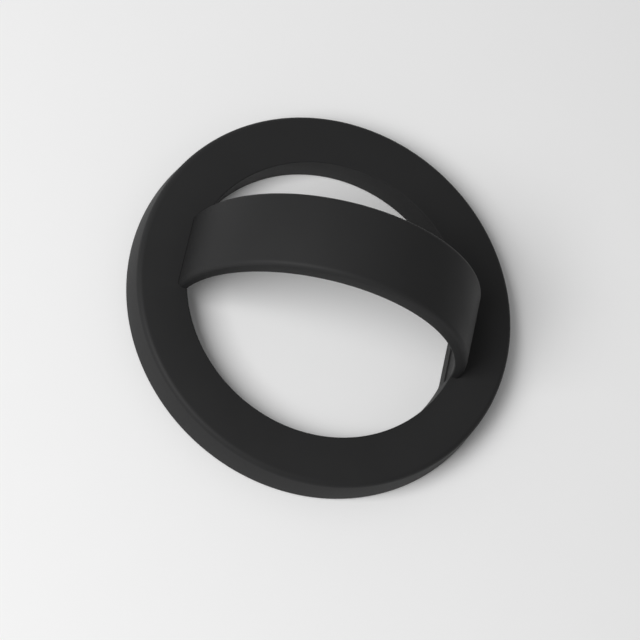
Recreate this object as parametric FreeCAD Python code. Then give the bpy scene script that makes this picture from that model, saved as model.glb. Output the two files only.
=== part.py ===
import FreeCAD, Part
import math
import os

# Magnetic finger-loop grip: a flat soft ring that snaps to the back of a phone, with one wide
# soft strap arching over its open middle. Millimetres, +Z up, origin on the resting face at the
# ring's centre, strap along X.

# Ring shell, from the hole outwards and from the magnets upwards
hole_diameter = 44.0
inner_wall = 1.4
outer_wall = 2.2
roof_thickness = 1.7
wall_draft = 0.4
rim_round = 0.5
hole_bevel = 0.2
bottom_bevel = 0.2

# Strap, thin at its legs and thicker over the finger
strap_width = 12.0
leg_thickness = 1.4
crown_thickness = 3.0
strap_outer_bevel = 0.4
strap_inner_bevel = 0.3

# Anchor feet at the strap's ends, trapped under the shell's roof
foot_reach = 4.2
foot_thickness = 1.2
bead_width = 1.2
bead_height = 0.5

# Magnet array and its steel backing
magnet_count = 16
magnet_width = 4.2
magnet_thickness = 1.5
magnet_spacing = 0.3
magnet_bevel = 0.2
shield_thickness = 0.3

# Base pad
pad_thickness = 0.7
pad_proud = 0.2
pad_rim = 0.7
pad_bevel = 0.15

# Clearance of a piece beside the wall that guides it
fit_gap = 0.1

# Radii that follow from the sizes above
hole_radius = hole_diameter / 2
magnet_inner_radius = hole_radius + inner_wall + fit_gap
magnet_outer_radius = magnet_inner_radius + magnet_width
base_radius = magnet_outer_radius + fit_gap + outer_wall
top_radius = base_radius - wall_draft

# Levels, from the resting face up
shell_bottom_z = pad_proud
shield_bottom_z = pad_thickness + magnet_thickness
foot_bottom_z = shield_bottom_z + shield_thickness
foot_top_z = foot_bottom_z + foot_thickness
ring_top_z = foot_top_z + roof_thickness
outer_spring_z = foot_bottom_z + crown_thickness - leg_thickness

# Distances along the strap, whose inner face meets the ring's top on a chord of the hole
seat_x = math.sqrt(hole_radius**2 - (strap_width / 2) ** 2)
leg_inner_x = math.hypot(seat_x, ring_top_z - foot_bottom_z)
leg_outer_x = leg_inner_x + leg_thickness
foot_end_x = leg_outer_x + foot_reach

Z_AXIS = FreeCAD.Vector(0, 0, 1)
ORIGIN = FreeCAD.Vector(0, 0, 0)


def tube(inner_radius, outer_radius, bottom_z, top_z):
    """Plain annular solid about Z."""
    base = FreeCAD.Vector(0, 0, bottom_z)
    outer = Part.makeCylinder(outer_radius, top_z - bottom_z, base)
    inner = Part.makeCylinder(inner_radius, top_z - bottom_z, base)
    return outer.cut(inner)


def block(x_range, half_width, z_range):
    """Box between two X values and two Z values, centred across Y."""
    corner = FreeCAD.Vector(x_range[0], -half_width, z_range[0])
    return Part.makeBox(x_range[1] - x_range[0], 2 * half_width, z_range[1] - z_range[0], corner)


def both_ends(shape):
    """The shape at the strap's +X end and its twin at the -X end."""
    twin = shape.copy()
    twin.rotate(ORIGIN, Z_AXIS, 180)
    return [shape, twin]


def level_edges(shape, level):
    """Edges that lie flat at one height."""
    tolerance = 1e-6
    found = []
    for edge in shape.Edges:
        box = edge.BoundBox
        if abs(box.ZMin - level) < tolerance and abs(box.ZMax - level) < tolerance:
            found.append(edge)
    return found


def upright_edges(shape):
    """Straight edges that run along Z."""
    return [edge for edge in shape.Edges if edge.BoundBox.ZLength > 0.99 * edge.Length]


def hole_with_flats():
    """Round hole with a flat at each end of the strap, as wide as the strap."""
    height = ring_top_z - shell_bottom_z
    bore = Part.makeCylinder(hole_radius, height, FreeCAD.Vector(0, 0, shell_bottom_z))
    between_flats = block((-seat_x, seat_x), hole_radius, (shell_bottom_z, ring_top_z))
    return bore.common(between_flats)


def strap_notch():
    """Notch for one leg, open to the hole, with room for the leg's bevelled outer edges."""
    half_width = strap_width / 2 + fit_gap
    notch = block((0, leg_outer_x + fit_gap), half_width, (foot_bottom_z, ring_top_z))
    outer_corners = [edge for edge in upright_edges(notch) if edge.BoundBox.XMin > leg_outer_x]
    return notch.makeChamfer(strap_outer_bevel, outer_corners)


def foot(clearance):
    """Outward foot with an end bead that keeps it from pulling out, or the pocket that holds it."""
    half_width = strap_width / 2 + clearance
    start_x = leg_inner_x + leg_thickness / 2
    end_x = foot_end_x + clearance
    bead_x = foot_end_x - bead_width - clearance
    plate = block((start_x, end_x), half_width, (foot_bottom_z, foot_top_z))
    bead = block((bead_x, end_x), half_width, (foot_bottom_z, foot_top_z + bead_height))
    return plate.fuse(bead)


def ring_shell():
    """Drafted ring, open below for the magnets and the pad, notched for the strap's legs."""
    height = ring_top_z - shell_bottom_z
    disc = Part.makeCone(base_radius, top_radius, height, FreeCAD.Vector(0, 0, shell_bottom_z))
    disc = disc.makeFillet(rim_round, level_edges(disc, ring_top_z))
    disc = disc.makeChamfer(bottom_bevel, level_edges(disc, shell_bottom_z))
    disc = disc.cut(hole_with_flats())
    top_edges = level_edges(disc, ring_top_z)
    hole_rim = [edge for edge in top_edges if edge.BoundBox.YMax < hole_radius + fit_gap]
    disc = disc.makeChamfer(hole_bevel, hole_rim)
    channel = tube(
        magnet_inner_radius - fit_gap, magnet_outer_radius + fit_gap, shell_bottom_z, foot_bottom_z
    )
    rebate = tube(hole_radius + pad_rim, base_radius - pad_rim, shell_bottom_z, pad_thickness)
    cuts = [channel, rebate] + both_ends(strap_notch()) + both_ends(foot(fit_gap))
    return disc.cut(cuts).removeSplitter()


def arch(radius, spring_z):
    """Half circle from leg to leg, which springs upright from one level."""
    return Part.Arc(
        FreeCAD.Vector(radius, 0, spring_z),
        FreeCAD.Vector(0, 0, spring_z + radius),
        FreeCAD.Vector(-radius, 0, spring_z),
    ).toShape()


def leg_outline(side):
    """The straight edges of one leg, down its outer face and in to its inner face."""
    outline = [
        FreeCAD.Vector(side * leg_outer_x, 0, outer_spring_z),
        FreeCAD.Vector(side * leg_outer_x, 0, foot_bottom_z),
        FreeCAD.Vector(side * leg_inner_x, 0, foot_bottom_z),
    ]
    return Part.makePolygon(outline).Edges


def long_edges(band):
    """Edges along the strap at its two sides."""
    found = []
    for edge in band.Edges:
        box = edge.BoundBox
        at_side = abs(abs(box.Center.y) - strap_width / 2) < 1e-6 and box.YLength < 1e-6
        if at_side and box.ZLength > leg_thickness / 2:
            found.append(edge)
    return found


def runs_inside(edge):
    """Whether a long edge lies on the strap's inner face."""
    point = edge.valueAt((edge.FirstParameter + edge.LastParameter) / 2)
    reach = math.hypot(point.x, point.z - foot_bottom_z)
    return reach < leg_inner_x + leg_thickness / 2


def loop_strap():
    """One moulded band: arched strap with soft edges, straight legs and outward feet."""
    outline = [arch(leg_outer_x, outer_spring_z), arch(leg_inner_x, foot_bottom_z)]
    outline += leg_outline(1) + leg_outline(-1)
    wire = Part.Wire(Part.__sortEdges__(outline))
    wire.translate(FreeCAD.Vector(0, -strap_width / 2, 0))
    band = Part.Face(wire).extrude(FreeCAD.Vector(0, strap_width, 0))
    band = band.makeChamfer(strap_outer_bevel, [e for e in long_edges(band) if not runs_inside(e)])
    band = band.makeChamfer(strap_inner_bevel, [e for e in long_edges(band) if runs_inside(e)])
    return band.fuse(both_ends(foot(0))).removeSplitter()


def magnet(index):
    """One arc-shaped magnet of the ring array."""
    mean_radius = (magnet_outer_radius + magnet_inner_radius) / 2
    pitch = 360.0 / magnet_count
    sweep = pitch - math.degrees(magnet_spacing / mean_radius)
    corner = FreeCAD.Vector(magnet_inner_radius, 0, pad_thickness)
    facing = FreeCAD.Vector(0, -1, 0)
    outwards = FreeCAD.Vector(1, 0, 0)
    section = Part.makePlane(magnet_width, magnet_thickness, corner, facing, outwards)
    segment = section.revolve(ORIGIN, Z_AXIS, sweep)
    segment = segment.makeChamfer(magnet_bevel, upright_edges(segment))
    segment.rotate(ORIGIN, Z_AXIS, index * pitch - sweep / 2)
    return segment


def shield_ring():
    """Thin steel ring behind the magnets, which turns their field towards the phone."""
    return tube(magnet_inner_radius, magnet_outer_radius, shield_bottom_z, foot_bottom_z)


def base_pad():
    """Soft ring that closes the underside and rests on the phone."""
    pad = tube(hole_radius + pad_rim + fit_gap, base_radius - pad_rim - fit_gap, 0, pad_thickness)
    return pad.makeChamfer(pad_bevel, level_edges(pad, 0))


parts = {
    "ring_shell": ring_shell(),
    "loop_strap": loop_strap(),
    "shield_ring": shield_ring(),
    "base_pad": base_pad(),
}
for number in range(magnet_count):
    parts["magnet_%02d" % (number + 1)] = magnet(number)

os.makedirs("parts", exist_ok=True)
for name, shape in parts.items():
    shape.exportStep("parts/" + name + ".step")
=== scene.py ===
import math

import bmesh
import bpy
from bpy.props import FloatProperty, FloatVectorProperty, IntProperty, PointerProperty
from bpy.types import Operator, Panel, PropertyGroup
from mathutils import Matrix, Vector


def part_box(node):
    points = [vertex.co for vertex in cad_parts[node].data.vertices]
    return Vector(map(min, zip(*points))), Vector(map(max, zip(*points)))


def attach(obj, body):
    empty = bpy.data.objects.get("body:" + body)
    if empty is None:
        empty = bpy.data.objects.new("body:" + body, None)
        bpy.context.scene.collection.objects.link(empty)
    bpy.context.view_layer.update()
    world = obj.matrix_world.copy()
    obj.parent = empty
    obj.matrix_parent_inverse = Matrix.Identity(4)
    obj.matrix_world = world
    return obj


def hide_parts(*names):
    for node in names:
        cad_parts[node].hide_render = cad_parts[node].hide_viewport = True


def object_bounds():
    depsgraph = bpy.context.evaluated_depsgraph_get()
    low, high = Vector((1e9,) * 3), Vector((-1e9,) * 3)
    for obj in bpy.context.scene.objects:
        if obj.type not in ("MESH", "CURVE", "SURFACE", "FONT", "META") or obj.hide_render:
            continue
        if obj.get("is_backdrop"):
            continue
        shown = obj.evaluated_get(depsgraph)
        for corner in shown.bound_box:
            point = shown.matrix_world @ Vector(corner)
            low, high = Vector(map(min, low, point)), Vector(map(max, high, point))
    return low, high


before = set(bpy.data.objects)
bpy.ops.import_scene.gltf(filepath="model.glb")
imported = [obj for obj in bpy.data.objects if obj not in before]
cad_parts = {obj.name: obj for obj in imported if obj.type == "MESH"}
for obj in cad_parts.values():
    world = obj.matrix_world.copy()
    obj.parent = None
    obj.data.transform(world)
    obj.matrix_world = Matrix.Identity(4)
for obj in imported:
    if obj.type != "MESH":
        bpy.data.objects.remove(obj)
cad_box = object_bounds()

bl_info = {
    "name": "Finger Loop Grip",
    "version": (1, 0, 0),
    "blender": (4, 5, 0),
    "location": "View3D > Sidebar > Grip",
    "description": "Dresses a magnetic phone ring with a soft finger loop in moulded silicone",
    "category": "Object",
}

BODY = "root"
MM = 0.001

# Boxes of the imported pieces, which the soft skins stand for
SHELL_LOW, SHELL_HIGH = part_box("ring_shell")
STRAP_LOW, STRAP_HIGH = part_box("loop_strap")
PAD_LOW, PAD_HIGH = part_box("base_pad")
MAGNETS = sorted(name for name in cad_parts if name.startswith("magnet_"))

# Edges sharper than this stay crisp in the shading
CREASE_ANGLE = math.radians(28)

# Noise of the moulded grain and of the slow mottle
GRAIN_DETAIL = 2.0
GRAIN_ROUGHNESS = 0.6
MOTTLE_DETAIL = 3.0
MOTTLE_PER_METRE = 140.0

# How far the mottle swings the roughness either way
SILICONE_SWING = 0.06
METAL_SWING = 0.08

# Floor grid and the tint of its faint mottle
FLOOR_CELLS = 8
FLOOR_TINT = 0.99


# Property kinds

def length(name, description, default):
    """A size in metres that the sidebar shows in the scene's unit."""
    return FloatProperty(name=name, description=description, default=default, unit="LENGTH", precision=5)


def amount(name, description, default, **kind):
    """A plain number, with a unit or subtype where one fits."""
    return FloatProperty(name=name, description=description, default=default, **kind)


def steps(name, description, default, least):
    """A count of sections or faces."""
    return IntProperty(name=name, description=description, default=default, min=least)


def colour(name, description, default):
    """A linear colour."""
    return FloatVectorProperty(
        name=name, description=description, default=default, size=3, subtype="COLOR"
    )


def turn(name, description, degrees):
    """An angle, given in degrees and kept in radians."""
    return amount(name, description, math.radians(degrees), subtype="ANGLE")


class GripForm(PropertyGroup):
    """Sizes of the soft mouldings."""

    outer_radius: length("Outer radius", "Ring radius at its foot", SHELL_HIGH[0])
    shell_bottom: length("Shell bottom", "Level of the shell's lower rim", SHELL_LOW[2])
    ring_top: length("Ring top", "Level of the ring's top face", SHELL_HIGH[2])
    hole_radius: length("Hole radius", "Radius of the open middle", 22.0 * MM)
    wall_draft: length("Wall draft", "Lean of the outer wall over its height", 0.4 * MM)
    rim_round: length("Rim round", "Round of the ring's top outer edge", 0.9 * MM)
    edge_round: length("Edge round", "Round of the hole's edges and of the wall's foot", 0.2 * MM)
    pad_rim: length("Pad rim", "Width of the shell's rims beside the pad", 0.7 * MM)
    inner_wall: length("Inner wall", "Wall between the hole and the magnets", 1.4 * MM)
    outer_wall: length("Outer wall", "Wall outside the magnets", 2.2 * MM)
    fit_gap: length("Fit gap", "Clearance beside a guided piece", 0.1 * MM)
    seat_gap: length("Seat gap", "Clearance round the strap's legs where they enter the ring", 0.01 * MM)
    strap_width: length("Strap width", "Width of the strap", STRAP_HIGH[1] - STRAP_LOW[1])
    strap_top: length("Strap top", "Level of the strap's crown", STRAP_HIGH[2])
    leg_thickness: length("Leg thickness", "Thickness of the strap at its legs", 1.4 * MM)
    strap_round: length("Strap round", "Round of the strap's outer long edges", 0.8 * MM)
    strap_inner_round: length("Inner round", "Round of the strap's inner long edges", 0.3 * MM)
    foot_end: length("Foot end", "Reach of the strap's feet from the middle", STRAP_HIGH[0])
    foot_bottom: length("Foot bottom", "Level of the strap's feet", STRAP_LOW[2])
    foot_thickness: length("Foot thickness", "Thickness of the strap's feet", 1.2 * MM)
    bead_width: length("Bead width", "Width of the bead on each foot", 1.2 * MM)
    bead_height: length("Bead height", "Height of the bead on each foot", 0.5 * MM)
    pad_thickness: length("Pad thickness", "Thickness of the base pad", PAD_HIGH[2] - PAD_LOW[2])
    pad_round: length("Pad round", "Round of the pad's lower edges", 0.15 * MM)
    ring_steps: steps("Ring steps", "Sections round the ring", 288, 48)
    arch_steps: steps("Arch steps", "Sections along the strap's arch", 120, 24)
    round_steps: steps("Round steps", "Faces across each rounded edge", 6, 2)


class GripFinish(PropertyGroup):
    """Colours and surface of the materials."""

    silicone: colour("Silicone", "Dark grey of the ring and strap", (0.0190, 0.0190, 0.0193))
    bloom: colour("Bloom", "Paler film that soft silicone carries", (0.0225, 0.0225, 0.0228))
    pad: colour("Pad", "Grey of the base pad", (0.020, 0.020, 0.021))
    steel: colour("Steel", "Cold-rolled backing ring", (0.50, 0.50, 0.51))
    nickel: colour("Nickel", "Plating of the magnets", (0.66, 0.64, 0.60))
    grain: length("Grain", "Spacing of the moulded texture", 0.12 * MM)
    grain_depth: length("Grain depth", "Depth of the moulded texture", 0.016 * MM)
    roughness: amount("Roughness", "Roughness of the silicone", 0.56)


class GripStage(PropertyGroup):
    """Camera, light and floor."""

    azimuth: turn("Azimuth", "Camera's turn round the ring", -27.301)
    elevation: turn("Elevation", "Camera's height above the floor plane", 62.178)
    roll: turn("Roll", "Camera's turn about its own axis", 43.023)
    distance: length("Distance", "From the camera to the aim", 0.500)
    aim_right: length("Aim right", "Aim beside the ring's centre, along the picture", 0.504 * MM)
    aim_up: length("Aim up", "Aim above the ring's centre, up the picture", -1.520 * MM)
    lens: amount("Lens", "Focal length", 185.81, subtype="DISTANCE_CAMERA")
    floor: colour("Floor", "Pale floor", (0.92, 0.92, 0.92))
    floor_reach: length("Floor reach", "From the ring to the floor's edge", 2.0)
    floor_drop: length("Floor drop", "Hair of room between the pad and the floor", 0.02 * MM)
    sky: amount("Sky", "Strength of the even light from all round", 0.30)
    sky_fade: amount("Sky fade", "How much dimmer the sky is on the right", 0.3)
    key_power: amount("Key power", "Power of the soft box at the front left", 5.0, unit="POWER")
    key_size: length("Key size", "Width of the soft box", 0.40)
    key_turn: turn("Key turn", "Soft box's turn round the ring from +X", 213)
    key_height: turn("Key height", "Soft box's height above the floor plane", 46)
    key_distance: length("Key distance", "From the soft box to the ring", 0.75)


# Mesh building

def rounded(corners, round_steps):
    """Closed outline through corners given as (x, y, round), each round made of small steps."""
    outline = []
    count = len(corners)
    for index, (x, y, radius) in enumerate(corners):
        corner = Vector((x, y))
        if radius <= 0:
            outline.append(corner)
            continue
        before = (Vector(corners[index - 1][:2]) - corner).normalized()
        after = (Vector(corners[(index + 1) % count][:2]) - corner).normalized()
        half = before.angle(after) / 2
        centre = corner + (before + after).normalized() * radius / math.sin(half)
        start = corner + before * radius / math.tan(half) - centre
        sweep = start.angle_signed(corner + after * radius / math.tan(half) - centre)
        for step in range(round_steps + 1):
            outline.append(centre + Matrix.Rotation(-sweep * step / round_steps, 2) @ start)
    return outline


def mesh_piece(name, work):
    """New object made of a finished bmesh."""
    bmesh.ops.recalc_face_normals(work, faces=work.faces)
    mesh = bpy.data.meshes.new(name)
    work.to_mesh(mesh)
    work.free()
    piece = bpy.data.objects.new(name, mesh)
    bpy.context.scene.collection.objects.link(piece)
    return piece


def loft(sections, closed):
    """Skin of quads over equal sections, joined end to end or capped."""
    work = bmesh.new()
    rows = [[work.verts.new(point) for point in section] for section in sections]
    pairs = list(zip(rows, rows[1:]))
    if closed:
        pairs.append((rows[-1], rows[0]))
    for low, high in pairs:
        for index in range(len(low)):
            work.faces.new((low[index - 1], low[index], high[index], high[index - 1]))
    if not closed:
        work.faces.new(rows[0])
        work.faces.new(rows[-1])
    return work


def prism(outline, low, high, axes):
    """Straight solid of one outline between two levels along the third of three axes."""
    sections = []
    for level in (low, high):
        sections.append([axes @ Vector((point.x, point.y, level)) for point in outline])
    return loft(sections, closed=False)


def combine(piece, other, operation):
    """Cuts or joins another solid and keeps the result as the piece's own mesh."""
    modifier = piece.modifiers.new(operation.title(), "BOOLEAN")
    modifier.operation = operation
    modifier.solver = "EXACT"
    modifier.object = other
    solid = piece.evaluated_get(bpy.context.evaluated_depsgraph_get())
    mesh = bpy.data.meshes.new_from_object(solid)
    piece.modifiers.clear()
    old_mesh = piece.data
    piece.data = mesh
    mesh.name = piece.name
    bpy.data.meshes.remove(old_mesh)
    bpy.data.meshes.remove(other.data)


def soften(piece):
    """Smooth shading with true edges kept crisp."""
    piece.data.polygons.foreach_set("use_smooth", [True] * len(piece.data.polygons))
    piece.data.set_sharp_from_angle(angle=CREASE_ANGLE)


def seat(piece, node, material):
    """Stands the piece in its node's place with its finish."""
    piece.data.materials.clear()
    piece.data.materials.append(material)
    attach(piece, BODY)
    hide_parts(node)


# Shader nodes

def place(nodes, kind, **settings):
    """New node with its properties set."""
    node = nodes.new(kind)
    for label, value in settings.items():
        setattr(node, label, value)
    return node


def set_inputs(node, **values):
    """Constant values on a node's own sockets, with the words of a name joined by underscores."""
    for label, value in values.items():
        node.inputs[label.replace("_", " ")].default_value = value


def new_group(name, inputs, outputs):
    """Empty shader group with number sockets, and the nodes at its two ends."""
    group = bpy.data.node_groups.new(name, "ShaderNodeTree")
    for label, default in inputs:
        socket = group.interface.new_socket(label, in_out="INPUT", socket_type="NodeSocketFloat")
        socket.default_value = default
    for label in outputs:
        group.interface.new_socket(label, in_out="OUTPUT", socket_type="NodeSocketFloat")
    return group, group.nodes.new("NodeGroupInput"), group.nodes.new("NodeGroupOutput")


def moulded_grain():
    """Fine spark-eroded texture of a mould, with a height and a slow mottle."""
    name = "Moulded Grain"
    if name in bpy.data.node_groups:
        return bpy.data.node_groups[name]
    group, inside, outside = new_group(name, [("Spacing", 0.1 * MM)], ["Height", "Mottle"])
    nodes, links = group.nodes, group.links
    position = place(nodes, "ShaderNodeTexCoord").outputs["Object"]
    per_metre = place(nodes, "ShaderNodeMath", operation="DIVIDE")
    per_metre.inputs[0].default_value = 1.0
    links.new(inside.outputs["Spacing"], per_metre.inputs[1])
    grain = place(nodes, "ShaderNodeTexNoise")
    set_inputs(grain, Detail=GRAIN_DETAIL, Roughness=GRAIN_ROUGHNESS)
    links.new(position, grain.inputs["Vector"])
    links.new(per_metre.outputs[0], grain.inputs["Scale"])
    links.new(grain.outputs["Fac"], outside.inputs["Height"])
    mottle = place(nodes, "ShaderNodeTexNoise")
    set_inputs(mottle, Detail=MOTTLE_DETAIL, Scale=MOTTLE_PER_METRE)
    links.new(position, mottle.inputs["Vector"])
    links.new(mottle.outputs["Fac"], outside.inputs["Mottle"])
    return group


def blend_colours(nodes, links, mask, low, high):
    """Colour between two by a mask."""
    mix = place(nodes, "ShaderNodeMix", data_type="RGBA")
    mix.inputs["A"].default_value = (*low, 1.0)
    mix.inputs["B"].default_value = (*high, 1.0)
    links.new(mask, mix.inputs["Factor"])
    return mix.outputs["Result"]


def spread(nodes, links, value, low, high):
    """Value from 0 to 1 spread between two limits."""
    node = place(nodes, "ShaderNodeMapRange")
    set_inputs(node, To_Min=low, To_Max=high)
    links.new(value, node.inputs["Value"])
    return node.outputs["Result"]


def raised(nodes, links, height, depth):
    """Normal of a surface raised by a height of 0 to 1 times the depth."""
    bump = place(nodes, "ShaderNodeBump")
    set_inputs(bump, Strength=1.0, Distance=depth)
    links.new(height, bump.inputs["Height"])
    return bump.outputs["Normal"]


# Materials

def new_material(name):
    """Material with its nodes, its shader and the moulded grain placed."""
    material = bpy.data.materials.new(name)
    material.use_nodes = True
    nodes = material.node_tree.nodes
    shader = nodes["Principled BSDF"]
    grain = place(nodes, "ShaderNodeGroup", node_tree=moulded_grain())
    return material, nodes, material.node_tree.links, shader, grain


def grained(name, base, other, roughness, swing, spacing, depth):
    """Material of mottled colour and roughness with a raised grain, and its shader."""
    material, nodes, links, shader, grain = new_material(name)
    set_inputs(grain, Spacing=spacing)
    mottle = grain.outputs["Mottle"]
    tone = blend_colours(nodes, links, mottle, base, other)
    rough = spread(nodes, links, mottle, roughness - swing, roughness + swing)
    normal = raised(nodes, links, grain.outputs["Height"], depth)
    links.new(tone, shader.inputs["Base Color"])
    links.new(rough, shader.inputs["Roughness"])
    links.new(normal, shader.inputs["Normal"])
    return material, shader


def soft_silicone(name, base, finish, coarser=1, rougher=0.0):
    """Matte moulded silicone with a faint paler bloom."""
    roughness = finish.roughness + rougher
    spacing = finish.grain * coarser
    depth = finish.grain_depth * coarser
    material, shader = grained(name, base, finish.bloom, roughness, SILICONE_SWING, spacing, depth)
    set_inputs(shader, IOR=1.42, Specular_IOR_Level=0.20)
    return material


def bare_metal(name, base, finish, dulling, roughness, depth_share):
    """Worked metal with duller patches and a fine grain."""
    dull = [dulling * part for part in base]
    depth = finish.grain_depth * depth_share
    material, shader = grained(name, base, dull, roughness, METAL_SWING, finish.grain, depth)
    set_inputs(shader, Metallic=1.0)
    return material


def nickel_plate(finish):
    """Bright plating of the magnets."""
    return bare_metal(
        "nickel_plate", finish.nickel, finish, dulling=0.85, roughness=0.28, depth_share=1 / 4
    )


def cold_rolled_steel(finish):
    """Greyer steel of the ring behind the magnets."""
    return bare_metal(
        "cold_rolled_steel", finish.steel, finish, dulling=0.8, roughness=0.38, depth_share=1 / 2
    )


# Pieces

def strap_seat(form):
    """Distance from the middle to the chord of the hole that is as wide as the strap."""
    return math.sqrt(form.hole_radius**2 - (form.strap_width / 2) ** 2)


def strap_leg(form):
    """Inner and outer faces of the strap's leg at its foot, as distances from the middle."""
    inner = math.hypot(strap_seat(form), form.ring_top - form.foot_bottom)
    return inner, inner + form.leg_thickness


def ring_angles(form):
    """Angles of the sections round the ring."""
    return [2 * math.pi * step / form.ring_steps for step in range(form.ring_steps)]


def ring_section(outline, angle):
    """Outline of radius and height, stood upright at one angle round Z."""
    return [(p.x * math.cos(angle), p.x * math.sin(angle), p.y) for p in outline]


def shell_outline(form, hole_radius):
    """Section of the ring shell, anticlockwise from the outer foot, with the hole at one radius."""
    magnet_in = form.hole_radius + form.inner_wall
    magnet_out = form.outer_radius - form.outer_wall
    rebate_in = form.hole_radius + form.pad_rim
    rebate_out = form.outer_radius - form.pad_rim
    top = form.ring_top
    low = form.shell_bottom
    return rounded(
        [
            (form.outer_radius, low, form.edge_round),
            (form.outer_radius - form.wall_draft, top, form.rim_round),
            (hole_radius, top, form.edge_round),
            (hole_radius, low, form.edge_round),
            (rebate_in, low, 0),
            (rebate_in, form.pad_thickness, 0),
            (magnet_in, form.pad_thickness, 0),
            (magnet_in, form.foot_bottom, 0),
            (magnet_out, form.foot_bottom, 0),
            (magnet_out, form.pad_thickness, 0),
            (rebate_out, form.pad_thickness, 0),
            (rebate_out, low, 0),
        ],
        form.round_steps,
    )


def foot_solid(form, side, gap):
    """One foot with the bead at its end, or with a gap the room that it needs."""
    start = sum(strap_leg(form)) / 2
    end = form.foot_end + gap
    bead_start = form.foot_end - form.bead_width - gap
    low = form.foot_bottom
    top = low + form.foot_thickness
    bead_top = top + form.bead_height
    corners = [
        (start, low), (end, low), (end, bead_top), (bead_start, bead_top), (bead_start, top), (start, top)
    ]
    half = form.strap_width / 2 + gap
    across = Matrix(((side, 0, 0), (0, 0, 1), (0, 1, 0)))
    return prism([Vector(corner) for corner in corners], -half, half, across)


def strap_notches(form):
    """Solids to cut from the shell: a notch and a foot pocket at each end of the strap."""
    inner, outer = strap_leg(form)
    gap = form.seat_gap
    half = form.strap_width / 2 + gap
    corner_round = form.strap_round + gap
    # Each notch starts well inside the hole and ends clear of the ring's top
    open_end = inner - outer / 2
    above = form.ring_top + form.bead_height
    notch = rounded(
        [
            (open_end, -half, 0),
            (outer + gap, -half, corner_round),
            (outer + gap, half, corner_round),
            (open_end, half, 0),
        ],
        form.round_steps,
    )
    for side in (1, -1):
        yield prism(notch, form.foot_bottom, above, Matrix.Diagonal((side, side, 1)))
        yield foot_solid(form, side, form.fit_gap)


def make_ring_shell(form):
    """Ring swept round Z, with flats in line with the strap's legs, notched for the strap."""
    flat = strap_seat(form)
    sections = []
    for angle in ring_angles(form):
        # Distance to the flat along this angle, held within the ring where the two run side by side
        reach = flat / max(abs(math.cos(angle)), flat / form.outer_radius)
        outline = shell_outline(form, min(form.hole_radius, reach))
        sections.append(ring_section(outline, angle))
    shell = mesh_piece("ring_shell_skin", loft(sections, closed=True))
    for cutter in strap_notches(form):
        combine(shell, mesh_piece("cutter", cutter), "DIFFERENCE")
    soften(shell)
    return shell


def strap_path(form):
    """Inner and outer points of the strap's section along rays from its inner centre."""
    inner, outer = strap_leg(form)
    centre = Vector((0, 0, form.foot_bottom))
    # The outer arc's centre stands above the inner one, so the crown is thicker than the legs
    rise = form.strap_top - outer - form.foot_bottom
    path = []
    for step in range(form.arch_steps + 1):
        angle = math.pi * step / form.arch_steps
        ray = Vector((math.cos(angle), 0, math.sin(angle)))
        reach = rise * ray.z + math.sqrt(outer**2 - (rise * ray.x) ** 2)
        # Below its centre the outer arc runs on as an upright leg
        if reach * ray.z < rise:
            reach = outer / abs(ray.x)
        path.append((centre + ray * inner, centre + ray * reach))
    return path


def make_loop_strap(form):
    """Rounded band swept over the arch, with its feet joined on."""
    half = form.strap_width / 2
    across = Vector((0, 1, 0))
    sections = []
    for inner, outer in strap_path(form):
        thickness = (outer - inner).length
        outwards = (outer - inner).normalized()
        outline = rounded(
            [
                (-half, 0, form.strap_inner_round),
                (half, 0, form.strap_inner_round),
                (half, thickness, form.strap_round),
                (-half, thickness, form.strap_round),
            ],
            form.round_steps,
        )
        sections.append([inner + across * point.x + outwards * point.y for point in outline])
    strap = mesh_piece("loop_strap_skin", loft(sections, closed=False))
    for side in (1, -1):
        combine(strap, mesh_piece("foot", foot_solid(form, side, 0)), "UNION")
    soften(strap)
    return strap


def make_base_pad(form):
    """Flat ring with softened lower edges."""
    inner = form.hole_radius + form.pad_rim + form.fit_gap
    outer = form.outer_radius - form.pad_rim - form.fit_gap
    outline = rounded(
        [
            (outer, 0, form.pad_round),
            (outer, form.pad_thickness, 0),
            (inner, form.pad_thickness, 0),
            (inner, 0, form.pad_round),
        ],
        form.round_steps,
    )
    sections = [ring_section(outline, angle) for angle in ring_angles(form)]
    pad = mesh_piece("base_pad_skin", loft(sections, closed=True))
    soften(pad)
    return pad


# Stage

def view_axes(stage):
    """Camera's right, up and back directions."""
    azimuth, elevation = stage.azimuth, stage.elevation
    level = math.cos(elevation)
    back = Vector((level * math.sin(azimuth), -level * math.cos(azimuth), math.sin(elevation)))
    right = Vector((math.cos(azimuth), math.sin(azimuth), 0))
    up = back.cross(right)
    roll = Matrix.Rotation(stage.roll, 3, back)
    return roll @ right, roll @ up, back


def make_camera(stage):
    """Camera at the viewing angle of the reference picture."""
    right, up, back = view_axes(stage)
    camera = bpy.data.objects.new("camera", bpy.data.cameras.new("camera"))
    camera.data.lens = stage.lens
    camera.data.sensor_fit = "HORIZONTAL"
    aim = right * stage.aim_right + up * stage.aim_up
    camera.matrix_world = Matrix((right, up, back)).transposed().to_4x4()
    camera.matrix_world.translation = aim + back * stage.distance
    bpy.context.scene.collection.objects.link(camera)
    bpy.context.scene.camera = camera


def make_key(stage):
    """Soft box at the front left, which faces the ring."""
    lamp = bpy.data.lights.new("key", "AREA")
    lamp.energy = stage.key_power
    lamp.size = stage.key_size
    around, height = stage.key_turn, stage.key_height
    level = math.cos(height)
    outwards = Vector((level * math.cos(around), level * math.sin(around), math.sin(height)))
    key = bpy.data.objects.new("key", lamp)
    key.matrix_world = outwards.to_track_quat("Z", "Y").to_matrix().to_4x4()
    key.matrix_world.translation = outwards * stage.key_distance
    bpy.context.scene.collection.objects.link(key)


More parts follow.
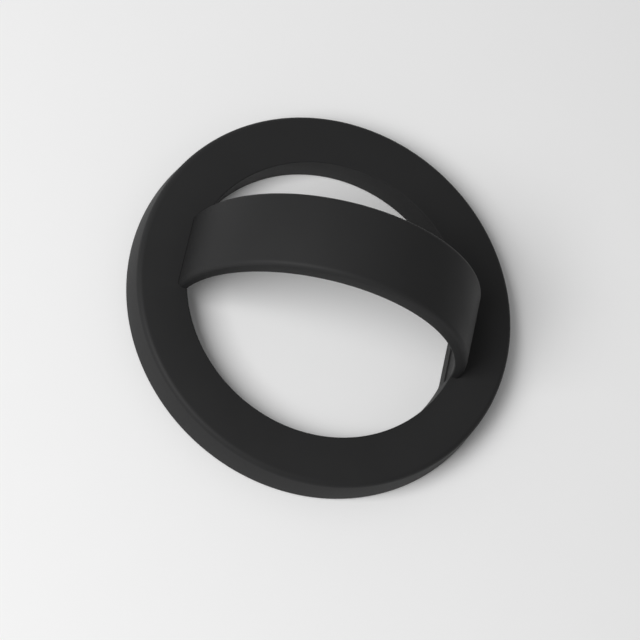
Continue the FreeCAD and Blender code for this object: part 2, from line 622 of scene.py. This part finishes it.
def make_floor(stage):
    """Wide pale floor just under the resting face."""
    work = bmesh.new()
    bmesh.ops.create_grid(
        work,
        x_segments=FLOOR_CELLS,
        y_segments=FLOOR_CELLS,
        size=stage.floor_reach,
        matrix=Matrix.Translation((0, 0, -stage.floor_drop)),
    )
    floor = mesh_piece("floor", work)
    material, nodes, links, shader, grain = new_material("pale_floor")
    set_inputs(shader, Roughness=0.8, Specular_IOR_Level=0.2)
    tint = [FLOOR_TINT * part for part in stage.floor]
    tone = blend_colours(nodes, links, grain.outputs["Mottle"], stage.floor, tint)
    links.new(tone, shader.inputs["Base Color"])
    floor.data.materials.append(material)
    floor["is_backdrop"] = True


def make_sky(stage):
    """Soft light from all round, dimmer on the right."""
    world = bpy.data.worlds.new("studio")
    bpy.context.scene.world = world
    world.use_nodes = True
    nodes, links = world.node_tree.nodes, world.node_tree.links
    background = nodes["Background"]
    background.inputs["Color"].default_value = (1, 1, 1, 1)
    direction = place(nodes, "ShaderNodeTexCoord")
    axes = place(nodes, "ShaderNodeSeparateXYZ")
    links.new(direction.outputs["Generated"], axes.inputs["Vector"])
    left, right = stage.sky * (1 + stage.sky_fade), stage.sky * (1 - stage.sky_fade)
    strength = place(nodes, "ShaderNodeMapRange")
    set_inputs(strength, From_Min=-1.0, From_Max=1.0, To_Min=left, To_Max=right)
    links.new(axes.outputs["X"], strength.inputs["Value"])
    links.new(strength.outputs["Result"], background.inputs["Strength"])


# Operators

class GRIP_OT_ring_shell(Operator):
    """Mould the ring shell"""

    bl_idname = "grip.ring_shell"
    bl_label = "Ring Shell"

    def execute(self, context):
        form, finish = context.scene.grip_form, context.scene.grip_finish
        material = soft_silicone("shell_silicone", finish.silicone, finish)
        seat(make_ring_shell(form), "ring_shell", material)
        return {"FINISHED"}


class GRIP_OT_loop_strap(Operator):
    """Mould the strap"""

    bl_idname = "grip.loop_strap"
    bl_label = "Loop Strap"

    def execute(self, context):
        form, finish = context.scene.grip_form, context.scene.grip_finish
        material = soft_silicone("strap_silicone", finish.silicone, finish)
        seat(make_loop_strap(form), "loop_strap", material)
        return {"FINISHED"}


class GRIP_OT_base_pad(Operator):
    """Mould the base pad"""

    bl_idname = "grip.base_pad"
    bl_label = "Base Pad"

    def execute(self, context):
        form, finish = context.scene.grip_form, context.scene.grip_finish
        material = soft_silicone("pad_silicone", finish.pad, finish, coarser=2, rougher=0.1)
        seat(make_base_pad(form), "base_pad", material)
        return {"FINISHED"}


class GRIP_OT_magnet_array(Operator):
    """Finish the magnets and their steel backing"""

    bl_idname = "grip.magnet_array"
    bl_label = "Magnet Array"

    def execute(self, context):
        finish = context.scene.grip_finish
        nickel = nickel_plate(finish)
        for name in MAGNETS:
            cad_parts[name].material_slots[0].material = nickel
        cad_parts["shield_ring"].material_slots[0].material = cold_rolled_steel(finish)
        return {"FINISHED"}


class GRIP_OT_stage(Operator):
    """Set the floor, the light and the camera"""

    bl_idname = "grip.stage"
    bl_label = "Stage"

    def execute(self, context):
        stage = context.scene.grip_stage
        make_floor(stage)
        make_sky(stage)
        make_key(stage)
        make_camera(stage)
        context.scene.view_settings.view_transform = "Standard"
        return {"FINISHED"}


OPERATORS = (
    GRIP_OT_ring_shell,
    GRIP_OT_loop_strap,
    GRIP_OT_base_pad,
    GRIP_OT_magnet_array,
    GRIP_OT_stage,
)


class GRIP_PT_panel(Panel):
    """Sidebar list of the grip's pieces"""

    bl_label = "Finger Loop Grip"
    bl_space_type = "VIEW_3D"
    bl_region_type = "UI"
    bl_category = "Grip"

    def draw(self, context):
        for operator in OPERATORS:
            self.layout.operator(operator.bl_idname)


SETTINGS = {"grip_form": GripForm, "grip_finish": GripFinish, "grip_stage": GripStage}
CLASSES = (*SETTINGS.values(), *OPERATORS, GRIP_PT_panel)


def register():
    """Adds the classes and hangs the settings on the scene."""
    for item in CLASSES:
        bpy.utils.register_class(item)
    for label, settings in SETTINGS.items():
        setattr(bpy.types.Scene, label, PointerProperty(type=settings))


def unregister():
    """Takes the settings and the classes away again."""
    for label in SETTINGS:
        delattr(bpy.types.Scene, label)
    for item in reversed(CLASSES):
        bpy.utils.unregister_class(item)


def main():
    """Makes every piece and the stage."""
    register()
    bpy.ops.grip.ring_shell()
    bpy.ops.grip.loop_strap()
    bpy.ops.grip.base_pad()
    bpy.ops.grip.magnet_array()
    bpy.ops.grip.stage()
    boxes = {"cad": cad_box, "visual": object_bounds()}
    plain = {label: [[float(part) for part in corner] for corner in box] for label, box in boxes.items()}


if __name__ == "__main__":
    main()
